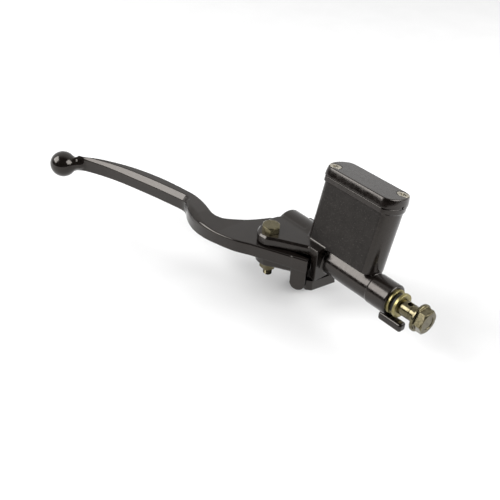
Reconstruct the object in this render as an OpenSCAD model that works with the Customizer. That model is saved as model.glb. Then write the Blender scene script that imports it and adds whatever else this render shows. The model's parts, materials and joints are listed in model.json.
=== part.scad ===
// Front brake master cylinder with a rectangular fluid reservoir, a swan-neck
// hand lever and a split handlebar clamp.  Millimetres.
// Origin: centre of the handlebar bore, midway along the clamp.
// +X runs along the handlebar towards the fluid outlet, -Y is the front of the
// machine, +Z runs along the lever pivot bolt towards its head.

/* [Cylinder] */
// Bore that the piston cups run in
bore_d = 12.7; // [11:0.1:14]
// Outer diameter of the cylinder barrel
barrel_d = 19; // [18.5:0.5:22]
// Outer diameter of the collar at the outlet end
collar_d = 20; // [19.5:0.5:23]
// Length of the collar
collar_l = 15; // [12:1:18]
// Length of the barrel from its mouth to its outlet face
barrel_l = 57; // [56:1:60]
// Outlet face from the drawing's origin, which lies clamp_x to the left of the clamp's middle
outlet_x = 89; // [86:1:92]

/* [Reservoir] */
// Length of the reservoir's straight front face
tank_l = 46; // [42:1:48]
// Depth of the reservoir, front to back
tank_w = 20.4; // [19:0.2:22]
// How far each bowed end stands out
tank_bulge = 4.4; // [3:0.1:5]
// Wall thickness of the reservoir
tank_wall = 2.4; // [2:0.1:3]
// Height of the rim's top above the barrel's axis
rim_top = 53; // [50:1:56]
// Lean of the reservoir towards the handlebar
lean = 12.7; // [8:0.1:16]
// Depth of the cover, front to back
cover_w = 25; // [24:0.5:27]
// Height of the cover
cover_h = 6; // [5.5:0.5:8]

/* [Handlebar clamp] */
// Diameter of the handlebar
bar_d = 22.2; // [22:0.1:22.4]
// Width of the clamp along the bar
clamp_w = 24; // [22:1:26]
// Spacing of the two clamp bolts
clamp_pitch = 32; // [31:0.5:34]

/* [Lever] */
// Distance from the bar's axis forward to the pivot axis
pivot_forward = 38.7; // [38:0.1:40]
// Thickness of the lever at its pivot
lever_t = 9; // [8:0.5:9.2]
// Thickness of the lever's blade
blade_t = 11.6; // [9:0.2:13]
// Diameter of the ball at the lever's tip
ball_d = 19; // [16:0.2:20]
// Thickness of each of the two pivot ears
ear_t = 6.5; // [5:0.5:7]

/* [Hidden] */
$fn = 64;

black = "#2b2a29";
zinc = "#8d8a6c";
brass = "#c9bd84";
rubber = "#1a1a1a";
steel = "#b9b9b6";

// Places worked out from the driving dimensions
axis_y = -17;                       // barrel axis, from the bar's axis
axis_z = 17;
mouth_x = outlet_x - barrel_l;      // open end of the barrel
bar_r = bar_d / 2;
bore_r = bore_d / 2;
pivot_x = 2.2;
pivot_y = -pivot_forward;
slot_h = lever_t + 1;               // gap between the two ears
tank_x = outlet_x - 43.2;           // middle of the reservoir along X
floor_h = 12;                       // reservoir floor above the barrel's axis
tank_bottom = 8.6;                  // underside of the reservoir
neck_w = 13;                        // web between the reservoir and the barrel
cover_x = tank_x;
screw_x = 21.7;                     // cover screws from the cover's middle
screw_y = 6.3;
skirt_gap = 0.2;
skirt_t = 1.8;
recess_h = 2;                       // room under the cover for the diaphragm
clamp_x = 10;                       // middle of the clamp, from the drawing's origin
clamp_half = 20.5;                  // clamp lugs above and below the bar
saddle_r = 15.5;
port_r = 0.6;
feed_r = 1.5;
post_r = 3.4;                       // posts that the cover screws bite in
screw_r = 2;
bolt_r = 3;                         // M6 pivot and clamp bolts
pivot_af = 11;                      // across the flats of the pivot bolt's head
housing_r = 12;                     // round casting over the lever's nose
housing_end_x = 21.4;
bar_clearance = 0.9;                // round the bar, right of the clamp
washer_t = 1.9;
spacer_l = 2.9;                     // rubber ring between the banjo washers
bush_r = 4.5;
banjo_r = 5;                        // M10 banjo bolt
thread_l = 12;
play = 0.3;                         // free play between lever and piston
cam_r = 14;                         // lever nose that pushes the piston
cam_x = pivot_x + 6;
piston_end_x = cam_x + cam_r + play;
stop_x = mouth_x + 5;               // stop washer's seat in the mouth
mouth_r = bore_r + 1.8;             // counterbore round the boot
boot_relief_x = 18;                 // where that counterbore starts in the ears
piston_face_x = stop_x + 17;

// ---- helpers -----------------------------------------------------------

// Put children in the barrel's frame: X along the barrel, Z up the reservoir
module barrel_frame() {
    translate([0, axis_y, axis_z]) rotate([-lean, 0, 0]) children();
}

// A round bar along X from x0 to x1
module rod_x(x0, x1, r) {
    translate([x0, 0, 0]) rotate([0, 90, 0]) cylinder(h = x1 - x0, r = r);
}

// A ring along X from x0 to x1
module ring_x(x0, x1, r_out, r_in) {
    difference() {
        rod_x(x0, x1, r_out);
        rod_x(x0 - 1, x1 + 1, r_in);
    }
}

// A hexagon along Z, given across its flats
module hexagon(h, flats) {
    cylinder(h = h, r = flats / sqrt(3), $fn = 6);
}

// Outline with a straight front and back and bowed ends
module bowed_outline(straight, depth, bulge) {
    r = (pow(depth / 2, 2) + pow(bulge, 2)) / (2 * bulge);
    square([straight, depth], center = true);
    for (side = [-1, 1])
        intersection() {
            translate([side * (straight / 2 + bulge - r), 0]) circle(r = r);
            square([straight + 2 * bulge, depth], center = true);
        }
}

// A rectangle with round corners made only of squares and circles
module soft_rect(w, h, r) {
    square([w - 2 * r, h], center = true);
    square([w, h - 2 * r], center = true);
    for (sx = [-1, 1], sy = [-1, 1])
        translate([sx * (w / 2 - r), sy * (h / 2 - r)]) circle(r = r);
}

// Point on a smooth curve through p1 and p2, at t from 0 to 1
function curve_at(p0, p1, p2, p3, t) =
    0.5 * (2 * p1 + (p2 - p0) * t
    + (2 * p0 - 5 * p1 + 4 * p2 - p3) * t * t
    + (3 * p1 - p0 - 3 * p2 + p3) * t * t * t);

// Smooth curve through every point of a list
function smooth(p, steps = 4) = [
    for (i = [0 : len(p) - 2], k = [0 : steps - 1])
        curve_at(p[max(i - 1, 0)], p[i], p[i + 1], p[min(i + 2, len(p) - 1)], k / steps),
    p[len(p) - 1]
];

// ---- body --------------------------------------------------------------

// Plan of the ears: a round eye at the pivot that widens to the clamp and barrel
module ear_outline() {
    translate([pivot_x, pivot_y]) circle(r = 8.7);
    polygon([
        [-6.4, -40.4], [5.9, -46.6], [31, -31.4], [37.6, -31.4],
        [37.6, -8], [14, -8], [14, -19.8], [-5.5, -19.8],
        [-8.2, -24], [-9.2, -29.5]
    ]);
}

// Half of the clamp that is cast with the body, seen along the bar
module saddle_outline() {
    difference() {
        union() {
            circle(r = saddle_r);
            translate([-6, 0]) soft_rect(13, 2 * clamp_half, 4.5);
        }
        translate([0.5, -50]) square([60, 100]);
    }
}

// Turns a profile drawn across the bar into a block along the bar
module along_bar(w) {
    translate([clamp_x, 0, 0]) rotate([90, 0, 90])
        linear_extrude(height = w, center = true) children();
}

module clamp_saddle() {
    rotate([-lean, 0, 0]) along_bar(clamp_w) saddle_outline();
    translate([clamp_x + 0.5 - clamp_w / 2, -22, 5.8]) cube([clamp_w - 1, 16, 18.4]);
}

// Threaded holes of the clamp, and the bar's way past the ears with room to spare
module clamp_holes() {
    rotate([-lean, 0, 0]) for (side = [-1, 1])
        translate([clamp_x, 1, side * clamp_pitch / 2])
            rotate([90, 0, 0]) cylinder(h = 12, r = bolt_r);
    rod_x(-20, outlet_x + 40, bar_r);
    rod_x(clamp_x + clamp_w / 2 + 0.3, outlet_x + 40, bar_r + bar_clearance);
}

// Both ears in one block, which the lever's slot then parts
module ears() {
    translate([0, 0, axis_z - slot_h / 2 - ear_t])
        linear_extrude(height = slot_h + 2 * ear_t) ear_outline();
}

// Round housing over the lever's nose, which rises a little above the ears
module nose_housing() {
    translate([0, axis_y + 2, axis_z + 0.9]) rod_x(-8, housing_end_x, housing_r);
    translate([0, axis_y, axis_z]) rod_x(20, mouth_x + 4.6, 10.6);
}

// Stop-switch bracket below the mouth of the barrel
module switch_bracket() {
    difference() {
        translate([0, 0, axis_z - 21.5]) linear_extrude(height = 10.5)
            polygon([[23, -30], [26, -32.5], [32, -32.5], [34, -31], [38.5, -9], [23, -9]]);
        translate([21, -28.5, axis_z - 19]) cube([12, 30, 5]);
    }
}

module banjo_stop() {
    translate([outlet_x - 6, axis_y - 5.2, axis_z - 15.6]) cube([17.5, 6, 5.8]);
    translate([outlet_x - 6, axis_y - 4, axis_z - 12]) cube([6, 5, 4]);
}

module tank() {
    barrel_frame() {
        translate([tank_x, 0, tank_bottom])
            linear_extrude(height = rim_top - tank_bottom)
                bowed_outline(tank_l, tank_w, tank_bulge);
        translate([tank_x - tank_l / 2, -neck_w / 2, 0])
            cube([tank_l, neck_w, tank_bottom + 1]);
        translate([tank_x, 0, rim_top - 3.6])
            linear_extrude(height = 3.6) bowed_outline(tank_l, cover_w - 1.2, 4.9);
    }
}

module tank_hollow() {
    inner_l = tank_l - 1.5 * tank_wall;
    inner_w = tank_w - 2 * tank_wall;
    barrel_frame() difference() {
        translate([tank_x, 0, floor_h])
            linear_extrude(height = rim_top) bowed_outline(inner_l, inner_w, 2.8);
        for (side = [-1, 1])
            translate([tank_x + side * screw_x, side * screw_y, floor_h - 1])
                cylinder(h = rim_top - floor_h + 1, r = post_r);
    }
}

module body_holes() {
    translate([0, axis_y, axis_z]) {
        rod_x(outlet_x - 13, outlet_x + 20, banjo_r);
        rod_x(outlet_x - 16, outlet_x - 12, 2);
        rod_x(mouth_x - 1, outlet_x - 15, bore_r);
        rod_x(boot_relief_x, stop_x, mouth_r);
        rod_x(stop_x - 3, stop_x - 1.8, bore_r + 2.5);
    }
    barrel_frame() {
        translate([outlet_x - 30.4, 0, 0]) cylinder(h = 14, r = port_r);
        translate([outlet_x - 40, 0, 0]) cylinder(h = 14, r = feed_r);
        for (side = [-1, 1])
            translate([tank_x + side * screw_x, side * screw_y, rim_top - 12])
                cylinder(h = 20, r = screw_r);
    }
    translate([pivot_x, pivot_y, axis_z - 30]) cylinder(h = 60, r = bolt_r + 0.05);
    translate([-40, -70, axis_z - slot_h / 2])
        cube([mouth_x + 40, 59.5, slot_h]);
    clamp_holes();
}

module master_cylinder_body() {
    color(black) difference() {
        union() {
            translate([0, axis_y, axis_z]) {
                rod_x(mouth_x + 0.6, outlet_x, barrel_d / 2);
                rod_x(outlet_x - collar_l, outlet_x, collar_d / 2);
            }
            tank();
            clamp_saddle();
            ears();
            nose_housing();
            switch_bracket();
            banjo_stop();
        }
        tank_hollow();
        body_holes();
    }
}

// ---- reservoir lid -------------------------------------------------------

module cover_place() {
    barrel_frame() translate([cover_x, 0, rim_top + skirt_gap]) children();
}

module screw_places() {
    for (side = [-1, 1])
        translate([side * screw_x, side * screw_y, 0]) children();
}

module reservoir_cover() {
    color(black) cover_place() difference() {
        linear_extrude(height = cover_h) bowed_outline(tank_l, cover_w, 5.2);
        translate([0, 0, -1]) linear_extrude(height = recess_h + 1)
            bowed_outline(tank_l - skirt_t, cover_w - 2 * skirt_t, 4.2);
        screw_places() {
            translate([0, 0, -1]) cylinder(h = cover_h + 2, r = screw_r + 0.2);
            translate([0, 0, cover_h - 2]) cylinder(h = 2.01, r1 = 2.2, r2 = 4.2);
        }
        translate([tank_l / 2 + 2, -0.6, -1]) cube([6, 1.2, 2.6]);
    }
}

module diaphragm() {
    color(rubber) cover_place() difference() {
        union() {
            translate([0, 0, -skirt_gap]) linear_extrude(height = 1.1)
                bowed_outline(tank_l - skirt_t - 0.6, cover_w - 2 * skirt_t - 0.6, 4);
            translate([0, 0, -4 - skirt_gap]) linear_extrude(height = 4.2)
                soft_rect(33, 12, 4);
        }
        translate([0, 0, -3 - skirt_gap]) linear_extrude(height = 8) soft_rect(31, 10, 3.4);
        screw_places() translate([0, 0, -3]) cylinder(h = 8, r = screw_r + 0.2);
    }
}

module diaphragm_plate() {
    color("ivory") cover_place() difference() {
        translate([0, 0, 1.1 - skirt_gap]) linear_extrude(height = 1)
            bowed_outline(tank_l - skirt_t - 0.8, cover_w - 2 * skirt_t - 0.8, 4);
        translate([0, 0, -3]) linear_extrude(height = 8) soft_rect(20, 6, 2.8);
        screw_places() translate([0, 0, -3]) cylinder(h = 8, r = screw_r + 0.2);
    }
}

module cover_screws() {
    color(steel) cover_place() screw_places() difference() {
        union() {
            translate([0, 0, cover_h - 2]) cylinder(h = 1.9, r1 = 2.1, r2 = 4.05);
            translate([0, 0, -9]) cylinder(h = cover_h + 7.5, r = screw_r);
        }
        for (turn = [0, 90])
            rotate([0, 0, turn + 20]) translate([0, 0, cover_h])
                cube([4, 0.8, 2.4], center = true);
    }
}

module port_baffle() {
    color(steel) barrel_frame()
        translate([outlet_x - 35, 0, floor_h]) difference() {
            union() {
                translate([-8, -4, 0]) cube([16, 8, 0.5]);
                for (side = [-1, 1])
                    translate([side * 7.5 - 0.5, -4, 0]) cube([1, 8, 2.5]);
            }
            for (side = [-1, 1])
                translate([side * 5, 0, -1]) cylinder(h = 4, r = 1.2);
        }
}

// ---- handlebar clamp ------------------------------------------------------

module clamp_cap() {
    color(black) rotate([-lean, 0, 0]) difference() {
        along_bar(clamp_w) difference() {
            union() {
                circle(r = saddle_r);
                translate([4.5, 0]) soft_rect(7, 2 * clamp_half, 2);
            }
            translate([-58.5, -50]) square([60, 100]);
        }
        rod_x(clamp_x - 20, clamp_x + 20, bar_r);
        for (side = [-1, 1])
            translate([clamp_x, 10, side * clamp_pitch / 2])
                rotate([90, 0, 0]) {
                    cylinder(h = 12, r = bolt_r + 0.3);
                    translate([0, 0, -18]) cylinder(h = 20, r = 6.4);
                }
    }
}

module clamp_places() {
    rotate([-lean, 0, 0]) for (side = [-1, 1])
        translate([clamp_x, 8, side * clamp_pitch / 2]) rotate([-90, 0, 0]) children();
}

module clamp_washers() {
    color(zinc) clamp_places() difference() {
        cylinder(h = 1.2, r = 5.8);
        translate([0, 0, -1]) cylinder(h = 4, r = bolt_r + 0.1);
    }
}

module clamp_bolts() {
    color(zinc) clamp_places() {
        translate([0, 0, 1.2]) hexagon(4, 10);
        translate([0, 0, -17]) cylinder(h = 19, r = bolt_r);
    }
}

// ---- lever -----------------------------------------------------------------

lever_back = [
    [-162, -82.6], [-157.7, -79.9], [-148, -72.3], [-136.6, -65.7], [-124.5, -59.8],
    [-111.2, -55], [-97.1, -51], [-81.8, -48.1], [-74, -46.9], [-65.9, -46.2], [-55.3, -47.4],
    [-43, -50.2], [-36.3, -48.8], [-31.7, -45.2], [-23, -33.8], [-17, -21.7]
];
lever_front = [
    [-162, -85.8], [-157, -81.8], [-150.9, -78.5], [-138, -72.8], [-123.9, -68],
    [-109.3, -63.9], [-94.8, -60.1], [-80.2, -56.7], [-70.5, -54.8], [-65.2, -55.9], [-59, -59.4],
    [-52.3, -62], [-44.6, -63.7], [-35.9, -64.1], [-27.7, -63.1], [-20.9, -61.5], [-14.8, -59.6],
    [-9.1, -57.3], [-1.4, -52.9]
];
wall_end = [33.8, -36.1];           // right end of the lever's front wall

function nose(t) = [cam_x + cam_r * cos(t), axis_y + cam_r * sin(t)];

// Plan of the lever: blade, swan neck, hub, nose on the piston and front wall
module lever_outline() {
    polygon(concat(
        smooth(lever_back),
        [[-11.5, -15.7], [4, -12], [17, -12]],
        [for (t = [20 : -10 : -40]) nose(t)],
        [[14, -37.5], [32.5, -33], wall_end],
        [for (i = [len(lever_front) - 1 : -1 : 0]) lever_front[i]]
    ));
}

module lever_tab() {
    angle = atan2(16.6, 35.2);
    translate([wall_end[0], wall_end[1], axis_z]) rotate([0, 0, angle])
        translate([-10.3, 0, 0]) {
            translate([0, 0, -15.2]) cube([10.3, 3, 18]);
            translate([5.15, 3, -15.2]) rotate([90, 0, 0]) cylinder(h = 3, r = 5.15);
        }
}

// Slope and flat that thin the lever from the blade to its hub; side 1 is above, -1 below
module root_relief(side) {
    translate([0, 0, axis_z]) scale([1, 1, side]) rotate([90, 0, 0])
        linear_extrude(height = 90) polygon([
            [-48, blade_t / 2 + 1], [-48, blade_t / 2], [-24.4, lever_t / 2],
            [60, lever_t / 2], [60, blade_t / 2 + 1]
        ]);
}

module brake_lever() {
    color(black) difference() {
        union() {
            difference() {
                translate([0, 0, axis_z - blade_t / 2])
                    linear_extrude(height = blade_t) lever_outline();
                root_relief(1);
                root_relief(-1);
            }
            lever_tab();
            translate([-169.3, -91.6, axis_z - 2]) sphere(r = ball_d / 2);
            translate([-169.3, -91.6, axis_z - 1.2]) rotate([0, 90, 52])
                cylinder(h = 13, r1 = 6, r2 = 4);
        }
        translate([pivot_x, pivot_y, 0]) cylinder(h = 60, r = bush_r);
    }
}

module lever_bush() {
    color(brass) translate([pivot_x, pivot_y, axis_z - lever_t / 2]) difference() {
        cylinder(h = lever_t, r = bush_r);
        translate([0, 0, -1]) cylinder(h = lever_t + 2, r = bolt_r + 0.05);
    }
}

module pivot_bolt() {
    color(zinc) translate([pivot_x, pivot_y, axis_z]) {
        translate([0, 0, slot_h / 2 + ear_t]) hexagon(4.4, pivot_af);
        translate([0, 0, -22.5]) cylinder(h = 22.5 + slot_h / 2 + ear_t + 1, r = bolt_r);
    }
}

module pivot_nut() {
    color(zinc) translate([pivot_x, pivot_y, axis_z - slot_h / 2 - ear_t - 5.5]) difference() {
        hexagon(5.5, 10);
        translate([0, 0, -1]) cylinder(h = 8, r = bolt_r);
    }
}

// ---- inside the barrel ------------------------------------------------------

module piston() {
    color("silver") translate([0, axis_y, axis_z]) {
        rod_x(piston_face_x - 3, piston_face_x, bore_r - 0.05);
        rod_x(piston_end_x, piston_face_x - 2, 3.6);
        rod_x(stop_x + 0.2, stop_x + 2.2, bore_r - 0.05);
        rod_x(stop_x + 5, stop_x + 6.4, bore_r - 0.05);
        rod_x(piston_end_x, stop_x + 1, 4.6);
    }
}

// A rubber cup with a sprung lip towards the fluid
module cup(x0, length, r_in) {
    color(rubber) translate([0, axis_y, axis_z]) difference() {
        rod_x(x0, x0 + length, bore_r - 0.02);
        rod_x(x0 - 1, x0 + length + 1, r_in);
        rod_x(x0 + length * 0.5, x0 + length + 1, bore_r - 1);
    }
}

module primary_cup() {
    cup(piston_face_x, 4, 1.5);
}

module secondary_cup() {
    cup(stop_x + 2.2, 2.8, 3.6);
}

// One turn of the return spring, drawn as a plain ring
module return_spring() {
    turns = 7;
    spring_r = 4.2;
    x0 = piston_face_x + 4.6;
    x1 = outlet_x - 15.8;
    color(steel) translate([0, axis_y, axis_z])
        for (i = [0 : turns - 1])
            translate([x0 + (x1 - x0) * i / (turns - 1), 0, 0]) rotate([0, 90, 0])
                rotate_extrude() translate([spring_r, 0]) circle(r = 0.5, $fn = 16);
}

module stop_washer() {
    color(steel) translate([0, axis_y, axis_z])
        ring_x(stop_x - 1, stop_x, mouth_r - 0.1, 4.8);
}

module circlip() {
    color(steel) translate([0, axis_y, axis_z]) difference() {
        ring_x(stop_x - 2.8, stop_x - 1.9, bore_r + 2.4, bore_r - 0.4);
        translate([stop_x - 4, -1.5, -12]) cube([4, 3, 12]);
    }
}

module dust_boot() {
    x0 = piston_end_x + 2.2;
    x1 = stop_x - 3;
    folds = 3;
    step = (x1 - x0 - 1.5) / folds;
    color(rubber) translate([0, axis_y, axis_z]) difference() {
        union() {
            rod_x(x0, x1, 6.2);
            for (i = [0 : folds - 1])
                rod_x(x0 + 0.8 + i * step, x0 + 0.8 + i * step + step * 0.6, 7.4);
            rod_x(x1 - 1.6, x1, bore_r + 1.6);
        }
        rod_x(x0 - 1, x1 + 1, 4.8);
    }
}

// ---- banjo bolt and its washers ----------------------------------------------

module banjo_bolt() {
    color(zinc) translate([0, axis_y, axis_z]) difference() {
        union() {
            rod_x(outlet_x - thread_l, outlet_x + 19.5, banjo_r);
            rod_x(outlet_x + 18.6, outlet_x + 20.4, 9);
            translate([outlet_x + 20, 0, 0]) rotate([0, 90, 0]) hexagon(6, 14);
        }
        rod_x(outlet_x - thread_l - 1, outlet_x + 13, 1.8);
        translate([outlet_x + 11.6, 0, -8]) cylinder(h = 16, r = 1.6);
        ring_x(outlet_x + 14, outlet_x + 14.8, 6, banjo_r - 0.35);
    }
}

module banjo_washer(x0) {
    color(brass) translate([0, axis_y, axis_z]) ring_x(x0, x0 + washer_t, 8, banjo_r + 0.05);
}

module sealing_washer_inner() {
    banjo_washer(outlet_x);
}

module washer_retainer() {
    color(rubber) translate([0, axis_y, axis_z])
        ring_x(outlet_x + washer_t, outlet_x + washer_t + spacer_l, 6.9, banjo_r + 0.05);
}

module sealing_washer_outer() {
    banjo_washer(outlet_x + washer_t + spacer_l);
}

// The part's origin is on the bar's axis, midway along the clamp
module placed() {
    translate([-clamp_x, 0, 0]) children();
}

placed() master_cylinder_body();
placed() reservoir_cover();
placed() cover_screws();
placed() diaphragm();
placed() diaphragm_plate();
placed() port_baffle();
placed() clamp_cap();
placed() clamp_bolts();
placed() clamp_washers();
placed() brake_lever();
placed() lever_bush();
placed() pivot_bolt();
placed() pivot_nut();
placed() piston();
placed() primary_cup();
placed() secondary_cup();
placed() return_spring();
placed() stop_washer();
placed() circlip();
placed() dust_boot();
placed() banjo_bolt();
placed() sealing_washer_inner();
placed() washer_retainer();
placed() sealing_washer_outer();
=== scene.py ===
import json
import math

import bmesh
import bpy
import numpy as np
from mathutils import Matrix, Vector


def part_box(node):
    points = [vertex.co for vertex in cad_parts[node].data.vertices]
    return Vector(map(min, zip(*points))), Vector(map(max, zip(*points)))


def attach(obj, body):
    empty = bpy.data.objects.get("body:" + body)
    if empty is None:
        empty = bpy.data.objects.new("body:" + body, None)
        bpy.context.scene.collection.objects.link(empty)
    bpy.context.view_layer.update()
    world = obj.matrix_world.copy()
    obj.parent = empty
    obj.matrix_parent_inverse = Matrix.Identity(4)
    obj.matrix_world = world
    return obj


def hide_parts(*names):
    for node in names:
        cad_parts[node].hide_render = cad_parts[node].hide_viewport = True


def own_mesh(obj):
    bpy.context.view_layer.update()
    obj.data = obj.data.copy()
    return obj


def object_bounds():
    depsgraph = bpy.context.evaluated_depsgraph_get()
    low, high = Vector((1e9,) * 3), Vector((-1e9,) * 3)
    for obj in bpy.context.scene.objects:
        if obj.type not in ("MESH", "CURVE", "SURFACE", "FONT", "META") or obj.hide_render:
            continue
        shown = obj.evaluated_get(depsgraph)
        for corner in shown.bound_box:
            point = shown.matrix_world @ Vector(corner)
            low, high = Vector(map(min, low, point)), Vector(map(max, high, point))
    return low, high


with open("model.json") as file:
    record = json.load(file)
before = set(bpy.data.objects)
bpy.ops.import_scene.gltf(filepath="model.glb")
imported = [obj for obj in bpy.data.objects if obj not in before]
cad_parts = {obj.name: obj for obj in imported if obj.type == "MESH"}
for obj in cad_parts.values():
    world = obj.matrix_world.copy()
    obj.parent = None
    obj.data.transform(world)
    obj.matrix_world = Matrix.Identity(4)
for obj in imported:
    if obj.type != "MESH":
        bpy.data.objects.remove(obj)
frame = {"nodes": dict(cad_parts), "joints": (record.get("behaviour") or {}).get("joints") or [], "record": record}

MM = 0.001
cad_lo, cad_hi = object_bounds()

# ---- places taken from the frame, in millimetres ---------------------------

# Shapes are worked out from a point 10 mm left of the clamp's middle.
CLAMP_X = 10.0
SHIFT = np.array([CLAMP_X, 0.0, 0.0])


def box_mm(node):
    """Lowest and highest corner of a CAD node at rest, in the shapes' millimetres."""
    lo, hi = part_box(node)
    return np.array(lo) / MM + SHIFT, np.array(hi) / MM + SHIFT


joints = {j["name"]: j for j in frame["joints"]}
pivot = np.array(joints["lever_pivot"]["pos_m"]) / MM + SHIFT
PIVOT_X, PIVOT_Y, AXIS_Z = pivot
bolt_lo, bolt_hi = box_mm("banjo_bolt")
AXIS_Y = float((bolt_lo[1] + bolt_hi[1]) / 2)         # barrel axis
OUTLET_X = float(box_mm("sealing_washer_inner")[0][0])  # outlet face
COLLAR_L = 15.0
BARREL_L = 57.0
MOUTH_X = OUTLET_X - BARREL_L
BARREL_R = 9.5
COLLAR_R = 10.0
BORE_R = 6.35
MOUTH_R = BORE_R + 1.8
LEAN = math.radians(12.7)                             # reservoir towards the bar
TANK_X = OUTLET_X - 43.2
TANK_L, TANK_W, TANK_BULGE = 46.0, 20.4, 4.4
TANK_WALL = 2.4
TANK_BOTTOM, RIM_TOP, FLOOR_H = 8.6, 53.0, 12.0
COVER_W, COVER_H, COVER_GAP = 25.0, 6.0, 0.2
SCREW_X, SCREW_Y = 21.7, 6.3
BAR_R = 11.1
CLAMP_W, CLAMP_HALF, CLAMP_PITCH, SADDLE_R = 24.0, 20.5, 32.0, 15.5
EAR_T, SLOT_H, LEVER_T, BLADE_T = 6.5, 10.0, 9.0, 11.6
BALL = np.array([-169.3, -91.6, AXIS_Z - 2])
BALL_R = 9.48
BOLT_R = 3.0                                          # M6
BANJO_R = 5.0                                         # M10
HOUSING_R = 12.0                                      # round casting over the lever's nose
HOUSING_END_X = 21.4
BAR_CLEARANCE = 0.9                                   # round the bar, right of the clamp

# ---- distance fields --------------------------------------------------------
# Every shape is a function of points in millimetres that gives the distance to
# its surface, negative inside.


def length2(a, b):
    return np.sqrt(a * a + b * b)


def join(a, b, k=0.0):
    """Union of two fields, with a fillet of about k."""
    if k <= 0:
        return np.minimum(a, b)
    h = np.clip(0.5 + 0.5 * (b - a) / k, 0, 1)
    return b * (1 - h) + a * h - k * h * (1 - h)


def meet(a, b, k=0.0):
    """Intersection of two fields, with an edge eased by about k."""
    return -join(-a, -b, k)


def cut(a, b, k=0.0):
    """Field a with field b taken away."""
    return meet(a, -b, k)


def chamfered(a, b, c):
    """Intersection whose edge is a flat chamfer of leg c."""
    return np.maximum(np.maximum(a, b), (a + b + c) * math.sqrt(0.5))


def rounded(a, b, r):
    """Intersection whose edge is an arc of radius r."""
    out = length2(np.maximum(a + r, 0), np.maximum(b + r, 0)) - r
    return np.where((a > -r) & (b > -r), out, np.maximum(a, b))


def slab(v, lo, hi):
    return np.maximum(lo - v, v - hi)


def box(p, lo, hi, r=0.0):
    """A box with its edges rounded by r."""
    c = (np.array(lo) + np.array(hi)) / 2
    h = (np.array(hi) - np.array(lo)) / 2 - r
    q = np.abs(p - c) - h
    outside = np.sqrt((np.maximum(q, 0) ** 2).sum(1))
    return outside + np.minimum(q.max(1), 0) - r


def rod(p, axis, lo, hi, radius, r=0.0):
    """A round bar along an axis through the origin, its end edges rounded by r."""
    a, b = [i for i in range(3) if i != axis]
    side = length2(p[:, a], p[:, b]) - radius
    return rounded(side, slab(p[:, axis], lo, hi), r) if r else np.maximum(
        side, slab(p[:, axis], lo, hi))


def outline(p2, pts):
    """Signed distance to a closed polygon, and the index of the nearest edge."""
    pts = np.asarray(pts, float)
    best = np.full(len(p2), 1e9)
    near = np.zeros(len(p2), int)
    inside = np.zeros(len(p2), bool)
    x, y = p2[:, 0], p2[:, 1]
    for i in range(len(pts)):
        a, b = pts[i], pts[(i + 1) % len(pts)]
        e = b - a
        t = np.clip(((x - a[0]) * e[0] + (y - a[1]) * e[1]) / (e @ e + 1e-12), 0, 1)
        d = (x - a[0] - t * e[0]) ** 2 + (y - a[1] - t * e[1]) ** 2
        closer = d < best
        best = np.where(closer, d, best)
        near = np.where(closer, i, near)
        crosses = (a[1] > y) != (b[1] > y)
        if e[1] != 0:
            inside ^= crosses & (x < a[0] + e[0] * (y - a[1]) / e[1])
    d = np.sqrt(best)
    return np.where(inside, -d, d), near


def side_of_path(p2, pts):
    """Signed distance to an open line of points, positive on its left."""
    pts = np.asarray(pts, float)
    best = np.full(len(p2), 1e9)
    side = np.zeros(len(p2))
    for a, b in zip(pts[:-1], pts[1:]):
        e = b - a
        d = p2 - a
        t = np.clip((d @ e) / (e @ e), 0, 1)
        gap = ((d - t[:, None] * e) ** 2).sum(1)
        left = (e[0] * d[:, 1] - e[1] * d[:, 0]) / math.sqrt(e @ e)
        side = np.where(gap < best, left, side)
        best = np.minimum(gap, best)
    return side


def bowed(x, y, straight, depth, bulge, corner):
    """Plan with a straight front and back and shallow bowed ends."""
    r = ((depth / 2) ** 2 + bulge ** 2) / (2 * bulge)
    cx = straight / 2 + bulge - r
    end = length2(np.maximum(np.abs(x) - cx, 0), y) - r
    return meet(np.abs(y) - depth / 2, end, corner)


def soft_rect(x, y, w, h, r):
    qx, qy = np.abs(x) - w / 2 + r, np.abs(y) - h / 2 + r
    return length2(np.maximum(qx, 0), np.maximum(qy, 0)) + np.minimum(np.maximum(qx, qy), 0) - r


def barrel_frame(p):
    """Points in the reservoir's frame: origin on the barrel, Z up the reservoir."""
    y, z = p[:, 1] - AXIS_Y, p[:, 2] - AXIS_Z
    c, s = math.cos(LEAN), math.sin(LEAN)
    return np.stack([p[:, 0], y * c - z * s, y * s + z * c], 1)


def clamp_frame(p):
    """Points in the clamp's frame: origin on the bar's axis, leaning like the tank."""
    c, s = math.cos(LEAN), math.sin(LEAN)
    return np.stack([p[:, 0], p[:, 1] * c - p[:, 2] * s, p[:, 1] * s + p[:, 2] * c], 1)


def moved(p, by):
    return p - np.array(by)


# ---- meshing a field ---------------------------------------------------------

BLOCK = 8


def sample(field, lo, step, n):
    """Field values on a grid, worked out only in blocks near the surface."""
    blocks = np.ceil((np.array(n) + 1) / BLOCK).astype(int)
    full = blocks * BLOCK
    idx = np.stack(np.meshgrid(*[np.arange(b) for b in blocks], indexing="ij"), -1).reshape(-1, 3)
    centres = lo + (idx * BLOCK + (BLOCK - 1) / 2) * step
    d = field(centres)
    reach = step * (BLOCK / 2 + 1) * math.sqrt(3) * 1.15
    grid = np.where(d < 0, -1.0, 1.0).astype(np.float32)
    grid = grid.reshape(blocks).repeat(BLOCK, 0).repeat(BLOCK, 1).repeat(BLOCK, 2)
    live = idx[np.abs(d) < reach]
    local = np.stack(np.meshgrid(*[np.arange(BLOCK)] * 3, indexing="ij"), -1).reshape(-1, 3)
    for start in range(0, len(live), 1500):
        part = live[start:start + 1500]
        cells = (part[:, None, :] * BLOCK + local[None]).reshape(-1, 3)
        grid[cells[:, 0], cells[:, 1], cells[:, 2]] = field(lo + cells * step)
    return grid[:full[0], :full[1], :full[2]]


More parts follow.
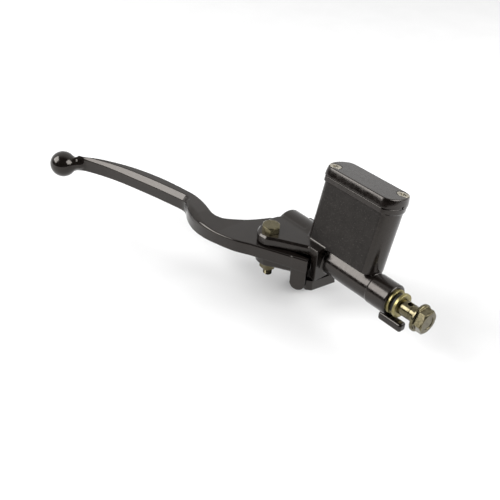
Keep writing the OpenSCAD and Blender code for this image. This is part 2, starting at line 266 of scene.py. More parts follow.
def gradient(field, p, h):
    g = np.zeros_like(p)
    for k in range(3):
        e = np.zeros(3)
        e[k] = h
        g[:, k] = (field(p + e) - field(p - e)) / (2 * h)
    return g


def surface(field, lo, hi, step):
    """Vertices, quads and normals of the field's zero surface, in millimetres."""
    lo = np.array(lo, float) - 2.5 * step
    n = np.ceil((np.array(hi) - lo) / step).astype(int) + 4
    g = sample(field, lo, step, n)
    shape = np.array(g.shape)
    inside = g < 0
    ids, pts, quads, flips = [], [], [], []
    stride = np.array([shape[1] * shape[2], shape[2], 1])
    for axis in range(3):
        a = np.take(inside, np.arange(0, shape[axis] - 1), axis)
        b = np.take(inside, np.arange(1, shape[axis]), axis)
        at = np.argwhere(a != b)
        u, v = [(1, 2), (2, 0), (0, 1)][axis]
        at = at[(at[:, u] > 0) & (at[:, v] > 0)]
        end = at.copy()
        end[:, axis] += 1
        d0 = g[at[:, 0], at[:, 1], at[:, 2]]
        d1 = g[end[:, 0], end[:, 1], end[:, 2]]
        t = d0 / (d0 - d1)
        point = at.astype(float)
        point[:, axis] += t
        corner = []
        for du, dv in ((1, 1), (0, 1), (0, 0), (1, 0)):
            cell = at.copy()
            cell[:, u] -= du
            cell[:, v] -= dv
            ids.append(cell @ stride)
            pts.append(point)
            corner.append(cell @ stride)
        quads.append(np.stack(corner, 1))
        flips.append(d0 > 0)
    ids, pts = np.concatenate(ids), np.concatenate(pts)
    quads, flips = np.concatenate(quads), np.concatenate(flips)
    cells, where = np.unique(ids, return_inverse=True)
    count = np.bincount(where)
    verts = np.stack([np.bincount(where, pts[:, k]) / count for k in range(3)], 1)
    verts = lo + verts * step
    quads = np.searchsorted(cells, quads)
    quads[flips] = quads[flips][:, ::-1]
    for _ in range(3):
        grad = gradient(field, verts, step * 0.2)
        size = (grad ** 2).sum(1, keepdims=True)
        move = -field(verts)[:, None] * grad / np.maximum(size, 0.25)
        far = np.sqrt((move ** 2).sum(1, keepdims=True))
        verts += move * np.minimum(1, 0.5 * step / np.maximum(far, 1e-9))
    normals = gradient(field, verts, step * 0.35)
    normals /= np.maximum(np.sqrt((normals ** 2).sum(1, keepdims=True)), 1e-9)
    return verts, quads, normals


def piece(name, verts, faces, normals=None, smooth=True):
    """A mesh object from points in the shapes' millimetres."""
    mesh = bpy.data.meshes.new(name)
    mesh.from_pydata(((np.asarray(verts) - SHIFT) * MM).tolist(), [], np.asarray(faces).tolist()
                     if not isinstance(faces, list) else faces)
    mesh.update()
    mesh.polygons.foreach_set("use_smooth", [smooth] * len(mesh.polygons))
    if normals is not None:
        mesh.normals_split_custom_set_from_vertices(normals.tolist())
    obj = bpy.data.objects.new(name, mesh)
    bpy.context.scene.collection.objects.link(obj)
    return obj


def carve(name, field, lo, hi, step):
    """A mesh object of a field's surface, held inside the given box."""
    return piece(name, *surface(lambda p: np.maximum(field(p), box(p, lo, hi)), lo, hi, step))


def lathe(name, profile, origin, segments=96):
    """A closed ring turned about the barrel's direction from (along, radius) points."""
    prof = np.array(profile, float)
    n = len(prof)
    ang = np.linspace(0, 2 * math.pi, segments, endpoint=False)
    verts = [(origin[0] + a, origin[1] + r * math.cos(t), origin[2] + r * math.sin(t))
             for t in ang for a, r in prof]
    faces = [[i * n + j, i * n + (j + 1) % n,
              (i + 1) % segments * n + (j + 1) % n, (i + 1) % segments * n + j]
             for i in range(segments) for j in range(n)]
    obj = piece(name, verts, faces)
    obj.data.set_sharp_from_angle(angle=math.radians(40))
    return obj


def eased(x0, x1, r_in, r_out, ease, steps=4):
    """Profile of a ring whose four edges are arcs of radius ease."""
    corners = [(x0, r_in, 180), (x1, r_in, 270), (x1, r_out, 0), (x0, r_out, 90)]
    points = []
    for x, r, start in corners:
        cx = x0 + ease if x == x0 else x1 - ease
        cr = r_in + ease if r == r_in else r_out - ease
        for i in range(steps + 1):
            t = math.radians(start + 90 * i / steps)
            points.append((cx + ease * math.cos(t), cr + ease * math.sin(t)))
    return points


def curve_through(points, steps):
    """Smooth curve through every point, with so many steps between two of them."""
    p = np.array(points, float)
    out = []
    for i in range(len(p) - 1):
        p0, p1, p2 = p[max(i - 1, 0)], p[i], p[i + 1]
        p3 = p[min(i + 2, len(p) - 1)]
        for k in range(steps):
            t = k / steps
            out.append(0.5 * (2 * p1 + (p2 - p0) * t + (2 * p0 - 5 * p1 + 4 * p2 - p3) * t * t
                              + (3 * p1 - p0 - 3 * p2 + p3) * t ** 3))
    out.append(p[-1])
    return [tuple(q) for q in out]

# ---- the casting ---------------------------------------------------------------

EAR_PLAN = [(-6.4, -40.4), (5.9, -46.6), (31, -31.4), (37.6, -31.4), (37.6, -8), (14, -8),
            (14, -19.8), (-5.5, -19.8), (-8.2, -24), (-9.2, -29.5)]


def tank_field(q):
    x = q[:, 0] - TANK_X
    wall = bowed(x, q[:, 1], TANK_L, TANK_W, TANK_BULGE, 2.0)
    wall = rounded(wall, slab(q[:, 2], TANK_BOTTOM, RIM_TOP), 0.7)
    rim = bowed(x, q[:, 1], TANK_L, COVER_W - 1.2, 4.9, 1.6)
    rim = rounded(rim, slab(q[:, 2], RIM_TOP - 3.6, RIM_TOP), 0.5)
    return join(wall, rim, 0.8)


def tank_hollow_field(q):
    x = q[:, 0] - TANK_X
    inner = bowed(x, q[:, 1], TANK_L - 1.5 * TANK_WALL, TANK_W - 2 * TANK_WALL, 2.8, 2.0)
    hollow = rounded(inner, FLOOR_H - q[:, 2], 1.5)
    for side in (-1, 1):
        post = length2(x - side * SCREW_X, q[:, 1] - side * SCREW_Y) - 3.4
        hollow = cut(hollow, post, 0.6)
    return hollow


def saddle_field(p):
    q = clamp_frame(p)
    y, z = q[:, 1], q[:, 2]
    plan = join(length2(y, z) - SADDLE_R, soft_rect(y + 6, z, 13, 2 * CLAMP_HALF, 4.5), 3.0)
    half = rounded(plan, y - 0.5, 0.4)
    return rounded(half, np.abs(q[:, 0] - CLAMP_X) - CLAMP_W / 2, 0.9)


def ears_field(p):
    plan, _ = outline(p[:, :2], EAR_PLAN)
    eye = length2(p[:, 0] - PIVOT_X, p[:, 1] - PIVOT_Y) - 8.7
    plan = join(plan, eye, 2.0)
    leg = 1.3 - np.clip(p[:, 0] - 29.5, 0, 1)
    return chamfered(plan, np.abs(p[:, 2] - AXIS_Z) - SLOT_H / 2 - EAR_T, leg)


def bracket_field(p):
    plan, _ = outline(p[:, :2], [(23, -29), (26.5, -32.5), (32, -32.5), (35, -30), (38.5, -9),
                                 (23, -9)])
    body = rounded(plan - 0.2, slab(p[:, 2], AXIS_Z - 21.5, AXIS_Z - 11), 1.1)
    ledge = slab(p[:, 2], AXIS_Z - 13.2, AXIS_Z - 8)
    return cut(body, np.maximum(-(plan + 2.2), ledge), 0.3)


def body_field(p):
    q = barrel_frame(p)
    solid = rod(q, 0, MOUTH_X + 0.6, OUTLET_X, BARREL_R, 0.6)
    collar = rod(q, 0, OUTLET_X - COLLAR_L, OUTLET_X, COLLAR_R, 0.9)
    neck = box(q, (TANK_X - 22.6, -6.3, 0), (TANK_X + 22.6, 6.3, TANK_BOTTOM + 1.5), 0.8)
    solid = join(solid, collar, 0.5)
    solid = join(solid, neck, 2.2)
    solid = join(solid, tank_field(q), 0.9)
    web = box(p, (CLAMP_X + 0.5 - CLAMP_W / 2, -22, 5.8),
              (CLAMP_X + CLAMP_W / 2 - 0.5, -6, 24.2), 1.0)
    housing = rod(moved(p, (0, AXIS_Y + 2, AXIS_Z + 0.9)), 0, -8, HOUSING_END_X,
                  HOUSING_R, 2.2)
    round_mouth = rod(moved(p, (0, AXIS_Y, AXIS_Z)), 0, 20, MOUTH_X + 4.6, 10.6, 0.6)
    perch = join(join(ears_field(p), saddle_field(p), 1.5), web, 1.2)
    perch = join(perch, join(housing, round_mouth, 0.8), 1.6)
    solid = join(solid, perch, 1.4)
    solid = join(solid, bracket_field(p), 1.2)
    stop = box(p, (OUTLET_X - 6, AXIS_Y - 5.2, AXIS_Z - 15.6),
               (OUTLET_X + 11.5, AXIS_Y + 0.8, AXIS_Z - 9.8), 1.7)
    solid = join(solid, stop, 0.9)
    # hollows
    solid = cut(solid, tank_hollow_field(q), 0.5)
    solid = cut(solid, rod(q, 0, MOUTH_X - 20, OUTLET_X - 15, BORE_R), 0.3)
    solid = cut(solid, rod(q, 0, 18, MOUTH_X + 5, MOUTH_R), 0.4)
    solid = cut(solid, rod(q, 0, MOUTH_X + 2, MOUTH_X + 3.2, BORE_R + 2.5))
    solid = cut(solid, rod(q, 0, OUTLET_X - 13, OUTLET_X + 20, BANJO_R + 0.02), 0.5)
    solid = cut(solid, rod(q, 0, OUTLET_X - 16, OUTLET_X - 12, 2.0), 0.3)
    solid = cut(solid, rod(moved(q, (OUTLET_X - 40, 0, 0)), 2, 0, 14, 1.5), 0.3)
    for side in (-1, 1):
        at = moved(q, (TANK_X + side * SCREW_X, side * SCREW_Y, 0))
        solid = cut(solid, rod(at, 2, RIM_TOP - 12, RIM_TOP + 8, 2.02), 0.3)
    pin = rod(moved(p, (PIVOT_X, PIVOT_Y, 0)), 2, AXIS_Z - 30, AXIS_Z + 30, BOLT_R + 0.05)
    solid = cut(solid, pin, 0.3)
    slot = box(p, (-40, -70, AXIS_Z - SLOT_H / 2), (MOUTH_X, -10.5, AXIS_Z + SLOT_H / 2))
    solid = cut(solid, slot, 1.1)
    solid = cut(solid, rod(p, 0, -60, 200, BAR_R), 0.4)
    clamp_end = CLAMP_X + CLAMP_W / 2 + 0.3
    solid = cut(solid, rod(p, 0, clamp_end, 200, BAR_R + BAR_CLEARANCE), 0.4)
    c = clamp_frame(p)
    for side in (-1, 1):
        hole = rod(moved(c, (CLAMP_X, 0, side * CLAMP_PITCH / 2)), 1, -11, 1, BOLT_R)
        solid = cut(solid, hole, 0.3)
    return solid


def cover_field(p):
    q = moved(barrel_frame(p), (TANK_X, 0, RIM_TOP + COVER_GAP))
    x, y, z = q[:, 0], q[:, 1], q[:, 2]
    draft = 1.0 * np.clip(z / COVER_H, 0, 1) ** 2
    plan = (bowed(x, y, TANK_L, COVER_W, 5.2, 2.2) + draft) * 0.96
    solid = rounded(plan, z - COVER_H, 0.6)
    solid = rounded(solid, -z, 0.3)
    inner = bowed(x, y, TANK_L - 1.8, COVER_W - 3.6, 4.2, 1.6)
    solid = cut(solid, np.maximum(inner, z - 2.0), 0.2)
    for side in (-1, 1):
        at = moved(q, (side * SCREW_X, side * SCREW_Y, 0))
        solid = cut(solid, rod(at, 2, -1, 10, 2.2), 0.2)
        cone = (length2(at[:, 0], at[:, 1]) - 2.55 - (z - COVER_H + 2)) * math.sqrt(0.5)
        solid = cut(solid, cone, 0.15)
    notch = box(q, (TANK_L / 2 + 2, -0.65, -1), (TANK_L / 2 + 9, 0.65, 1.7), 0.1)
    return cut(solid, notch, 0.2)


def clamp_cap_field(p):
    q = clamp_frame(p)
    y, z = q[:, 1], q[:, 2]
    plan = join(length2(y, z) - SADDLE_R, soft_rect(y - 4.5, z, 7, 2 * CLAMP_HALF, 2), 2.0)
    half = rounded(plan, 1.5 - y, 0.4)
    solid = rounded(half, np.abs(q[:, 0] - CLAMP_X) - CLAMP_W / 2, 1.0)
    solid = cut(solid, rod(q, 0, -40, 40, BAR_R), 0.4)
    for side in (-1, 1):
        at = moved(q, (CLAMP_X, 0, side * CLAMP_PITCH / 2))
        solid = cut(solid, rod(at, 1, -5, 30, BOLT_R + 0.3), 0.3)
        solid = cut(solid, rod(at, 1, 8, 30, 6.4), 0.4)
    return solid


# ---- the lever --------------------------------------------------------------------

LEVER_BACK = [(-162, -82.6), (-157.7, -79.9), (-148, -72.3), (-136.6, -65.7), (-124.5, -59.8),
              (-111.2, -55), (-97.1, -51), (-81.8, -48.1), (-74, -46.9), (-65.9, -46.2),
              (-55.3, -47.4), (-43, -50.2), (-36.3, -48.8), (-31.7, -45.2), (-23, -33.8),
              (-17, -21.7)]
LEVER_FRONT = [(-162, -85.8), (-157, -81.8), (-150.9, -78.5), (-138, -72.8), (-123.9, -68),
               (-109.3, -63.9), (-94.8, -60.1), (-80.2, -56.7), (-70.5, -54.8), (-65.2, -55.9),
               (-59, -59.4), (-52.3, -62), (-44.6, -63.7), (-35.9, -64.1), (-27.7, -63.1),
               (-20.9, -61.5), (-14.8, -59.6), (-9.1, -57.3), (-1.4, -52.9)]
WALL_END = (33.8, -36.1)
NOSE_R = 14.0
NOSE_X = PIVOT_X + 6


def lever_plan():
    back = curve_through(LEVER_BACK, 4)
    heel = [(-11.5, -15.7), (4, -12), (17, -12)]
    nose = [(NOSE_X + NOSE_R * math.cos(math.radians(t)),
             AXIS_Y + NOSE_R * math.sin(math.radians(t))) for t in range(20, -41, -10)]
    wall = [(14, -37.5), (32.5, -33), WALL_END]
    front = curve_through(LEVER_FRONT, 4)[::-1]
    return back + heel + nose + wall + front


LEVER_PLAN = lever_plan()
FRONT_EDGES = len(LEVER_PLAN) - len(curve_through(LEVER_FRONT, 4))
BLADE_FRONT = [q for q in curve_through(LEVER_FRONT, 4) if q[0] < -69] + [(-58, -52.0)]


def lever_field(p):
    x, z = p[:, 0], p[:, 2] - AXIS_Z
    plan, near = outline(p[:, :2], LEVER_PLAN)
    slope = (BLADE_T - LEVER_T) / 2 / 23.6
    half = np.clip(LEVER_T / 2 - (x + 24.4) * slope, LEVER_T / 2, BLADE_T / 2)
    top, low = z - half, -z - half
    root = np.clip((x + 52) / 36, 0, 1)
    front_r = 2.3 - 1.2 * root + 2.8 * np.exp(-((x + 49) / 9) ** 2)
    front_r = np.where(near >= FRONT_EDGES - 1, front_r, 0.8)
    upper = length2(np.maximum(plan + front_r, 0), np.maximum(top + front_r, 0)) - front_r
    solid = np.where((plan > -front_r) & (top > -front_r), upper, np.maximum(plan, top))
    # the broad face under the fingers, from the ball's neck to the swan neck
    run = np.clip((x + 163) / 45, 0, 1)
    leg = (1.7 + 1.7 * run) * np.clip((-65.0 - x) / 6.0, 0, 1) ** 0.5
    inset = side_of_path(p[:, :2], BLADE_FRONT)
    bevel = (top - inset + leg) * math.sqrt(0.5)
    solid = np.where(x < -65.0, meet(solid, bevel, 0.5), solid)
    solid = rounded(solid, low, 0.5)
    ball = np.sqrt(((p - BALL) ** 2).sum(1)) - BALL_R
    tip = np.array([-160.5, -83.0, AXIS_Z - 0.4])
    along = tip - BALL
    t = np.clip((p - BALL) @ along / (along @ along), 0, 1)
    neck = np.sqrt(((p - BALL - t[:, None] * along) ** 2).sum(1)) - 4.5
    solid = join(solid, join(ball, neck, 2.5), 2.2)
    # stop tab that hangs from the right end of the front wall
    turn = math.atan2(16.6, 35.2)
    u = (p[:, 0] - WALL_END[0]) * math.cos(turn) + (p[:, 1] - WALL_END[1]) * math.sin(turn)
    v = -(p[:, 0] - WALL_END[0]) * math.sin(turn) + (p[:, 1] - WALL_END[1]) * math.cos(turn)
    half = 5.15
    foot = length2(u + half, np.minimum(z + 15.2, 0)) - half
    face = np.maximum(np.maximum(foot, z - LEVER_T / 2), -u - 2 * half)
    tab = rounded(face, slab(v, 0, 3), 0.6)
    solid = join(solid, tab, 0.8)
    hole = length2(p[:, 0] - PIVOT_X, p[:, 1] - PIVOT_Y) - 4.5
    return cut(solid, hole, 0.3)


# ---- fasteners -----------------------------------------------------------------


def hexagon(p, lo, hi, flats, ease=0.25, turn=30):
    """A hexagonal prism along Z with its upper corners cut back by a cone."""
    x, y, z = p.T
    side = np.full(len(p), -1e9)
    for k in range(3):
        a = math.radians(60 * k + turn)
        side = np.maximum(side, np.abs(x * math.cos(a) + y * math.sin(a)) - flats / 2)
    solid = rounded(side, slab(z, lo, hi), ease)
    cone = (length2(x, y) - flats * 0.47) * 0.5 + (z - hi) * 0.866
    return meet(solid, cone, 0.1)


def thread(p, lo, hi, radius, pitch):
    """A threaded shank along Z, its crests at the given radius."""
    turn = np.arctan2(p[:, 1], p[:, 0]) / (2 * math.pi)
    phase = np.abs(((p[:, 2] / pitch - turn) % 1.0) - 0.5) * 2
    side = length2(p[:, 0], p[:, 1]) - (radius - 0.55 * pitch * phase)
    return rounded(side * 0.75, slab(p[:, 2], lo, hi), 0.3)


def turned(p, origin, axis):
    """Points in a frame whose Z runs along a row axis from an origin."""
    q = p - np.array(origin)
    if axis == 0:
        return np.stack([q[:, 1], q[:, 2], q[:, 0]], 1)
    if axis == 1:
        return np.stack([q[:, 2], q[:, 0], q[:, 1]], 1)
    return q


def pivot_bolt_field(p):
    q = turned(p, (PIVOT_X, PIVOT_Y, AXIS_Z), 2)
    top = SLOT_H / 2 + EAR_T
    head = hexagon(q, top, top + 4.4, 11, 0.2, 42)
    shank = rod(q, 2, -17.5, top + 1, BOLT_R)
    return join(join(head, shank, 0.2), thread(q, -22.5, -17.0, BOLT_R, 1.0))


def pivot_nut_field(p):
    q = turned(p, (PIVOT_X, PIVOT_Y, AXIS_Z - SLOT_H / 2 - EAR_T - 5.5), 2)
    flipped = q * np.array([1, 1, -1]) + np.array([0, 0, 5.5])
    solid = np.maximum(hexagon(q, 0, 5.5, 10), hexagon(flipped, 0, 5.5, 10))
    return cut(solid, rod(q, 2, -1, 8, BOLT_R + 0.02), 0.25)


def clamp_bolts_field(p):
    q = clamp_frame(p)
    solid = np.full(len(p), 1e9)
    for side in (-1, 1):
        at = turned(q, (CLAMP_X, 8, side * CLAMP_PITCH / 2), 1)
        head = hexagon(at, 1.2, 5.2, 10)
        solid = join(solid, join(head, rod(at, 2, -17, 2, BOLT_R - 0.02, 0.3), 0.2))
    return solid


def banjo_bolt_field(p):
    q = turned(p, (OUTLET_X, AXIS_Y, AXIS_Z), 0)
    shank = rod(q, 2, -1, 19.5, BANJO_R)
    solid = join(shank, thread(q, -12, -0.5, 4.98, 1.25))
    flange = rod(q, 2, 18.6, 20.6, 9.0, 0.6)
    head = hexagon(q, 19.5, 26, 14, 0.35)
    solid = join(join(solid, flange, 0.7), head, 0.5)
    solid = cut(solid, rod(q, 2, -13, 13, 1.8), 0.3)
    port = rod(turned(p, (OUTLET_X + 11.6, AXIS_Y, AXIS_Z), 2), 2, -8, 8, 1.6)
    solid = cut(solid, port, 0.4)
    groove = np.maximum(slab(q[:, 2], 14.0, 14.8), 4.65 - length2(q[:, 0], q[:, 1]))
    solid = cut(solid, groove, 0.1)
    dish = length2(q[:, 0], q[:, 1]) - 4.2
    return cut(solid, np.maximum(dish, 25.6 - q[:, 2]), 0.3)


def cover_screws_field(p):
    base = moved(barrel_frame(p), (TANK_X, 0, RIM_TOP + COVER_GAP))
    solid = np.full(len(p), 1e9)
    for side in (-1, 1):
        at = moved(base, (side * SCREW_X, side * SCREW_Y, 0))
        r = length2(at[:, 0], at[:, 1])
        cone = (r - 2.1 - (at[:, 2] - COVER_H + 2)) * math.sqrt(0.5)
        head = rounded(np.maximum(cone, r - 4.0), slab(at[:, 2], COVER_H - 2.1, COVER_H - 0.1), 0.2)
        screw = join(head, rod(at, 2, -9, COVER_H - 1.5, 1.98, 0.3))
        turn = math.radians(20)
        u = at[:, 0] * math.cos(turn) + at[:, 1] * math.sin(turn)
        v = -at[:, 0] * math.sin(turn) + at[:, 1] * math.cos(turn)
        taper = np.clip((at[:, 2] - COVER_H + 2.4) / 2.4, 0, 1)
        wings = np.minimum(np.maximum(np.abs(u) - 2.6 * taper, np.abs(v) - 0.75),
                           np.maximum(np.abs(v) - 2.6 * taper, np.abs(u) - 0.75))
        recess = np.maximum(np.minimum(wings, r - 1.2 * taper), COVER_H - 2.3 - at[:, 2])
        solid = join(solid, cut(screw, recess, 0.08))
    return solid


# ---- materials ---------------------------------------------------------------------


class Nodes:
    """Builds one node material, a line for each node."""

    def __init__(self, name):
        self.mat = bpy.data.materials.new(name)
        self.mat.use_nodes = True
        self.tree = self.mat.node_tree
        self.bsdf = self.tree.nodes["Principled BSDF"]
        coord = self.tree.nodes.new("ShaderNodeTexCoord")
        self.place = coord.outputs["Object"]

    def put(self, kind, **sets):
        node = self.tree.nodes.new(kind)
        for key, value in sets.items():
            if key in node.inputs:
                node.inputs[key].default_value = value
            else:
                setattr(node, key, value)
        return node

    def link(self, a, b):
        self.tree.links.new(a, b)

    def noise(self, size_mm, detail=3.0, rough=0.55, stretch=None):
        node = self.put("ShaderNodeTexNoise", Scale=1 / (size_mm * MM), Detail=detail,
                        Roughness=rough)
        place = self.place
        if stretch:
            scale = self.put("ShaderNodeVectorMath", operation="MULTIPLY")
            scale.inputs[1].default_value = stretch
            self.link(place, scale.inputs[0])
            place = scale.outputs[0]
        self.link(place, node.inputs["Vector"])
        return node.outputs["Fac"]

    def ramp(self, value, stops):
        node = self.put("ShaderNodeValToRGB")
        while len(node.color_ramp.elements) < len(stops):
            node.color_ramp.elements.new(0.5)
        for element, (at, colour) in zip(node.color_ramp.elements, stops):
            element.position = at
            element.color = (*colour, 1) if len(colour) == 3 else colour
        self.link(value, node.inputs["Fac"])
        return node.outputs["Color"]

    def mix(self, factor, a, b):
        node = self.put("ShaderNodeMix", data_type="RGBA")
        self.link(factor, node.inputs[0])
        for socket, value in ((node.inputs[6], a), (node.inputs[7], b)):
            if isinstance(value, tuple):
                socket.default_value = (*value, 1)
            else:
                self.link(value, socket)
        return node.outputs[2]

    def remap(self, value, lo, hi, low=0.3, high=0.7):
        node = self.put("ShaderNodeMapRange")
        for key, number in zip(("From Min", "From Max", "To Min", "To Max"), (low, high, lo, hi)):
            node.inputs[key].default_value = number
        self.link(value, node.inputs["Value"])
        return node.outputs["Result"]

    def bump(self, value, height_mm, strength=1.0, normal=None):
        node = self.put("ShaderNodeBump", Strength=strength, Distance=height_mm * MM)
        self.link(value, node.inputs["Height"])
        if normal is not None:
            self.link(normal, node.inputs["Normal"])
        return node.outputs["Normal"]

    def shade(self, colour=None, rough=None, normal=None, **constants):
        for key, value in constants.items():
            self.bsdf.inputs[key.replace("_", " ")].default_value = value
        for socket, value in (("Base Color", colour), ("Roughness", rough), ("Normal", normal)):
            if value is not None:
                self.link(value, self.bsdf.inputs[socket])
        return self.mat


def black_paint(name, base, gloss, grain_mm, grain_height, speckle=0.0, shine=0.46):
    """Black coat over a casting: a fine grain, slow colour drift and dull patches."""
    n = Nodes(name)
    dark = tuple(0.72 * c for c in base)
    light = tuple(1.45 * c for c in base)
    colour = n.ramp(n.noise(6.0, 4), [(0.3, dark), (0.52, base), (0.75, light)])
    if speckle:
        spots = n.ramp(n.noise(0.7, 2, 0.5), [(0.6, (0, 0, 0)), (0.74, (speckle,) * 3)])
        colour = n.mix(spots, colour, tuple(min(1, 4.5 * c) for c in base))
    rough = n.remap(n.noise(2.5, 3), gloss - 0.05, gloss + 0.07)
    fine = n.bump(n.noise(grain_mm, 3, 0.6), grain_height)
    normal = n.bump(n.noise(9.0, 2), 0.02, 0.6, fine)
    return n.shade(colour, rough, normal, IOR=1.5, Specular_IOR_Level=shine,
                   Specular_Tint=(1.0, 0.93, 0.87, 1.0))


def plated(name, base, tint, gloss, metal=1.0):
    """Passivated plate: mottled colour, drawn grain and dulled patches."""
    n = Nodes(name)
    colour = n.ramp(n.noise(2.6, 5, 0.55), [(0.3, tint), (0.5, base), (0.72, tuple(
        min(1, 1.2 * c) for c in base))])
    rough = n.remap(n.noise(0.9, 4), gloss - 0.06, gloss + 0.08)
    normal = n.bump(n.noise(0.35, 3, 0.6), 0.002)
    normal = n.bump(n.noise(3.0, 2), 0.006, 0.5, normal)
    return n.shade(colour, rough, normal, Metallic=metal)


def rubbery(name, base, gloss):
    n = Nodes(name)
    light = tuple(2.2 * c for c in base)
    colour = n.ramp(n.noise(1.4, 4), [(0.35, base), (0.7, light)])
    rough = n.remap(n.noise(0.9, 3), gloss - 0.08, gloss + 0.1)
    return n.shade(colour, rough, n.bump(n.noise(0.3, 3), 0.01), Specular_IOR_Level=0.4)


def nylon(name):
    n = Nodes(name)
    colour = n.ramp(n.noise(3.0, 3), [(0.3, (0.66, 0.64, 0.56)), (0.7, (0.78, 0.77, 0.71))])
    rough = n.remap(n.noise(1.2, 3), 0.4, 0.55)
    return n.shade(colour, rough, n.bump(n.noise(0.5, 3), 0.008), Subsurface_Weight=0.1)


MATERIALS = {
    "casting_black": black_paint("casting_black", (0.0068, 0.0052, 0.0044), 0.19, 0.6, 0.004),
    "casting_rough": black_paint("casting_rough", (0.0110, 0.0098, 0.0092), 0.52, 0.8, 0.09,
                                 0.9, 0.26),
    "cover_black": black_paint("cover_black", (0.0110, 0.0094, 0.0085), 0.26, 1.1, 0.03,
                               0.5, 0.42),
    "lever_black": black_paint("lever_black", (0.0072, 0.0056, 0.0048), 0.13, 0.6, 0.004),
    "zinc_yellow": plated("zinc_yellow", (0.128, 0.113, 0.069), (0.068, 0.056, 0.029), 0.20),
    "zinc_clear": plated("zinc_clear", (0.40, 0.37, 0.30), (0.25, 0.22, 0.16), 0.28),
    "washer_brass": plated("washer_brass", (0.255, 0.222, 0.100), (0.200, 0.168, 0.068), 0.36),
    "rubber_black": rubbery("rubber_black", (0.004, 0.004, 0.004), 0.5),
    "nylon_white": nylon("nylon_white"),
    "spring_steel": plated("spring_steel", (0.60, 0.60, 0.59), (0.48, 0.48, 0.47), 0.24),
    "piston_alloy": plated("piston_alloy", (0.74, 0.74, 0.75), (0.62, 0.62, 0.63), 0.30),
    "bush_bronze": plated("bush_bronze", (0.62, 0.42, 0.20), (0.50, 0.32, 0.14), 0.36),
}


def dress(obj, node, body, slot, material=None):
    """Gives a new piece its material (the one its record slot names, unless another is given), hides its CAD node
    and hangs it on its body.
    """
    obj.data.materials.append(MATERIALS[material or slot])
    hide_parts(node)
    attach(obj, body)
    return obj


# ---- build ------------------------------------------------------------------------------

body_lo, body_hi = box_mm("master_cylinder_body")
casting = dress(carve("body_casting", body_field, body_lo, body_hi, 0.5),
                "master_cylinder_body", "cylinder_body", "casting_black")
casting.data.materials.append(MATERIALS["casting_rough"])


def rough_faces(obj):
    """The reservoir's flat front and back keep the casting's coarse skin."""
    mesh = obj.data
    centre = np.zeros(len(mesh.polygons) * 3)
    mesh.polygons.foreach_get("center", centre)
    normal = np.zeros(len(mesh.polygons) * 3)
    mesh.polygons.foreach_get("normal", normal)
    q = barrel_frame(centre.reshape(-1, 3) / MM + SHIFT)
    n = normal.reshape(-1, 3)
    facing = np.abs(n[:, 1] * math.cos(LEAN) - n[:, 2] * math.sin(LEAN))
    on_wall = (q[:, 2] > TANK_BOTTOM) & (q[:, 2] < RIM_TOP - 3.2)
    flat = (np.abs(q[:, 1]) > TANK_W / 2 - 0.4) & (facing > 0.97)
    near_tank = np.abs(q[:, 0] - TANK_X) < TANK_L / 2
    mesh.polygons.foreach_set("material_index", (on_wall & flat & near_tank).astype(int))


rough_faces(casting)

lo, hi = box_mm("reservoir_cover")
cover = dress(carve("cover", cover_field, lo, hi, 0.35), "reservoir_cover", "cylinder_body",
              "casting_black")
cover.data.materials.append(MATERIALS["cover_black"])
up = Vector((0, math.sin(LEAN), math.cos(LEAN)))
for face in cover.data.polygons:
    face.material_index = int(face.normal.dot(up) > 0.97)
lo, hi = box_mm("clamp_cap")
dress(carve("cap_of_clamp", clamp_cap_field, lo, hi, 0.5), "clamp_cap", "cylinder_body",
      "casting_black")
lo, hi = box_mm("brake_lever")
dress(carve("lever_casting", lever_field, lo, hi, 0.6), "brake_lever", "lever", "lever_black")
for name, field, node, slot, step in (
        ("bolt_of_pivot", pivot_bolt_field, "pivot_bolt", "zinc_yellow", 0.18),
        ("nut_of_pivot", pivot_nut_field, "pivot_nut", "zinc_yellow", 0.18),
        ("bolts_of_clamp", clamp_bolts_field, "clamp_bolts", "zinc_yellow", 0.25),
        ("bolt_of_banjo", banjo_bolt_field, "banjo_bolt", "zinc_yellow", 0.22),
        ("screws_of_cover", cover_screws_field, "cover_screws", "zinc_clear", 0.16)):
    lo, hi = box_mm(node)
    dress(carve(name, field, lo, hi, step), node, "cylinder_body", slot)

AXIS = (0.0, AXIS_Y, AXIS_Z)
dress(lathe("washer_inner", eased(OUTLET_X, OUTLET_X + 1.9, 5.05, 8.0, 0.25), AXIS),
      "sealing_washer_inner", "cylinder_body", "washer_brass")
dress(lathe("washer_outer", eased(OUTLET_X + 4.8, OUTLET_X + 6.7, 5.05, 8.0, 0.25), AXIS),
      "sealing_washer_outer", "cylinder_body", "washer_brass")
dress(lathe("retainer_ring", eased(OUTLET_X + 1.92, OUTLET_X + 4.78, 5.05, 6.3, 0.5), AXIS),
      "washer_retainer", "cylinder_body", "rubber_black")


def boot_profile(x0, x1):
    """Bellows: a lip at the mouth and three folds towards the piston's end."""
    outer = []
    folds = 3
    steps = 36
    for i in range(steps + 1):
        t = i / steps
        wave = 0.5 - 0.5 * math.cos(2 * math.pi * folds * t)
        outer.append((x1 - 1.6 - (x1 - 1.6 - x0) * t, 6.0 + 1.4 * wave * (1 - 0.15 * t)))
    lip = [(x1 - 1.5, 7.9), (x1 - 0.1, 7.95)]
    inner = [(x0, 4.85), (x1, 4.85)]
    return lip[::-1] + outer + inner


def shorten(obj):
    """Gives the piece its own copy of its mesh."""
    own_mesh(obj)


boot_lo, boot_hi = box_mm("dust_boot")
boot = dress(lathe("bellows_boot", boot_profile(boot_lo[0], boot_hi[0]), AXIS),
             "dust_boot", "cylinder_body", "rubber_black")
shorten(boot)


